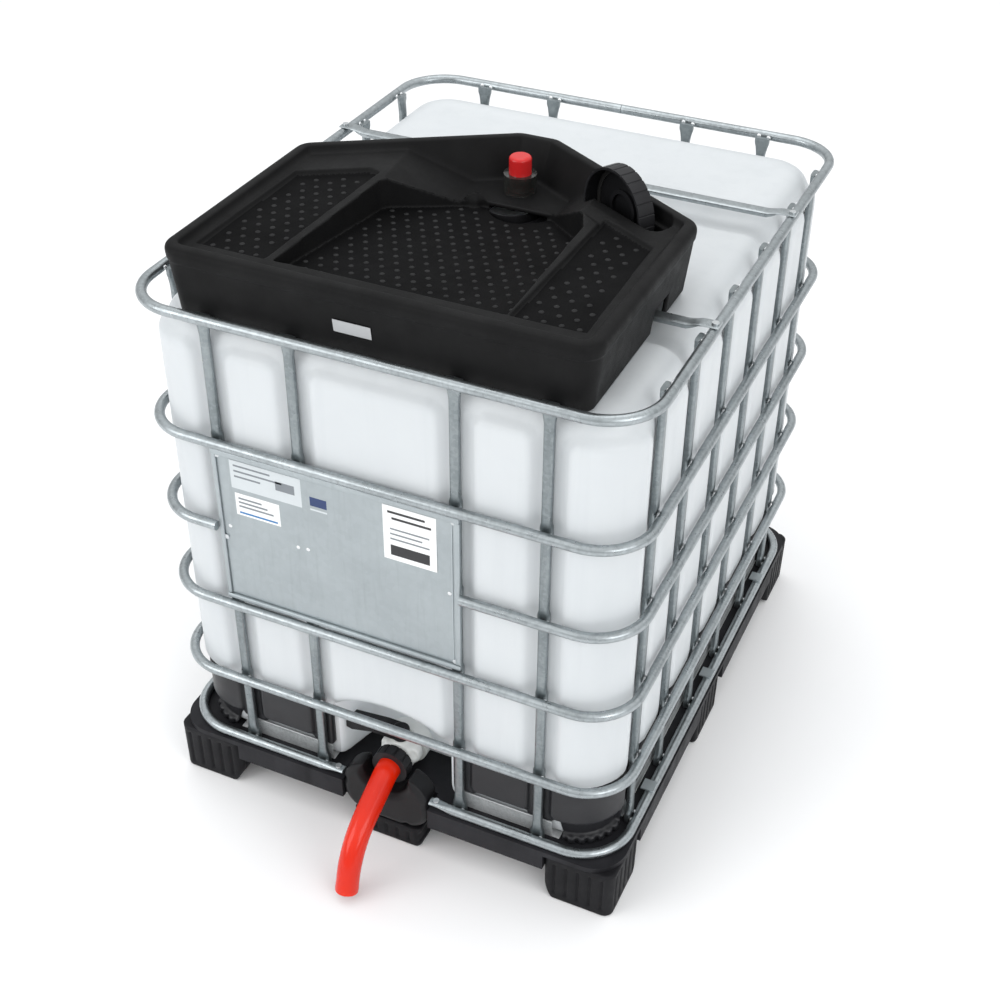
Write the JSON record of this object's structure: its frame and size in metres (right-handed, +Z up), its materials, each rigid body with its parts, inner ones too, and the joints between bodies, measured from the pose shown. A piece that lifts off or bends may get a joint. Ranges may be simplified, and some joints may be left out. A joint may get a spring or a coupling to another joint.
{
  "type": "intermediate bulk container",
  "caption": "Caged liquid container on a plastic pallet with a bottom outlet valve, bent pouring spout and a bolt-on filling funnel with level indicator.",
  "frame": {"origin": "centre of the pallet's footprint, on the floor", "axes": "+Z up; the outlet valve is on the -Y side; +X to the right when facing the valve"},
  "size_m": [1, 1.3889, 1.3203],
  "materials": {
    "pallet_black": "coarse moulded polyethylene, black",
    "collar_black": "semi-gloss black polyethylene",
    "galvanised_tube": "hot-dip galvanised, satin",
    "galvanised_sheet": "galvanised sheet, satin",
    "zinc_screw": "zinc plated",
    "bottle_natural": "natural polyethylene, milky",
    "sticker_white": "printed film, blank",
    "valve_natural": "natural polypropylene, milky",
    "moulded_black": "moulded polypropylene, black",
    "disc_natural": "natural polypropylene",
    "seal_rubber": "rubber",
    "spout_orange": "glossy orange-red polyethylene",
    "funnel_black": "rotationally moulded polyethylene, fine grain",
    "sleeve_clear": "clear acrylic",
    "indicator_red": "red polyethylene",
    "rod_grey": "grey polypropylene"
  },
  "bodies": {
    "container": {"pallet_deck": "pallet_black", "pallet_corner_feet": "pallet_black", "pallet_side_feet": "pallet_black", "pallet_front_foot": "pallet_black", "pallet_rear_foot": "pallet_black", "pallet_centre_foot": "pallet_black", "valve_cup": "pallet_black", "base_sheet": "galvanised_sheet", "collar_left": "collar_black", "collar_right": "collar_black", "collar_rear": "collar_black", "collar_front_left": "collar_black", "collar_front_right": "collar_black", "collar_corners": "collar_black", "bottle": "bottle_natural", "cage_ring_top": "galvanised_tube", "cage_ring_upper": "galvanised_tube", "cage_ring_middle": "galvanised_tube", "cage_ring_lower": "galvanised_tube", "cage_ring_bottom": "galvanised_tube", "cage_ring_base": "galvanised_tube", "front_uprights": "galvanised_tube", "rear_uprights": "galvanised_tube", "left_uprights": "galvanised_tube", "right_uprights": "galvanised_tube", "cross_bar_front": "galvanised_tube", "cross_bar_rear": "galvanised_tube", "cross_bar_screws": "zinc_screw", "ring_end_screws": "zinc_screw", "cage_claws": "galvanised_sheet", "label_plate": "galvanised_sheet", "label_plate_screws": "zinc_screw", "label_stickers": "sticker_white", "outlet_gasket": "seal_rubber", "valve_body": "valve_natural", "valve_flange_nut": "moulded_black", "spout_gasket": "seal_rubber"},
    "valve_rotor": {"valve_stem": "moulded_black", "valve_disc": "disc_natural", "valve_lever": "moulded_black"},
    "union_nut": {"union_nut": "moulded_black"},
    "spout": {"pouring_spout": "spout_orange"},
    "funnel": {"funnel_tray": "funnel_black", "funnel_badge": "sticker_white", "funnel_neck": "moulded_black", "funnel_gasket": "seal_rubber", "indicator_sleeve": "sleeve_clear"},
    "collar_nut": {"funnel_collar_nut": "moulded_black"},
    "fill_indicator": {"indicator_cap": "indicator_red", "indicator_rod": "rod_grey", "indicator_float": "rod_grey"},
    "parked_lid": {"parked_lid": "moulded_black", "parked_lid_seal": "seal_rubber"}
  },
  "joints": [
    {"name": "valve_turn", "type": "hinge", "parent": "container", "child": "valve_rotor", "pos_m": [0, -0.518, 0.184], "axis": [0, 0, 1], "range_deg": [0, 90]},
    {"name": "union_nut_turn", "type": "hinge", "parent": "container", "child": "union_nut", "pos_m": [0, -0.56, 0.184], "axis": [0, -1, 0], "continuous": true},
    {"name": "spout_swivel", "type": "hinge", "parent": "container", "child": "spout", "pos_m": [0, -0.57, 0.184], "axis": [0, -1, 0], "range_deg": [-90, 90]},
    {"name": "funnel_lift", "type": "slide", "parent": "container", "child": "funnel", "axis": [0, 0, 1], "range_m": [0, 0.3]},
    {"name": "collar_nut_turn", "type": "hinge", "parent": "funnel", "child": "collar_nut", "pos_m": [0, 0, 1.14], "axis": [0, 0, 1], "continuous": true},
    {"name": "indicator_rise", "type": "slide", "parent": "funnel", "child": "fill_indicator", "axis": [0, 0, 1], "range_m": [0, 0.03]},
    {"name": "lid_pull", "type": "slide", "parent": "funnel", "child": "parked_lid", "axis": [0, 0, 1], "range_m": [0, 0.2]}
  ]
}
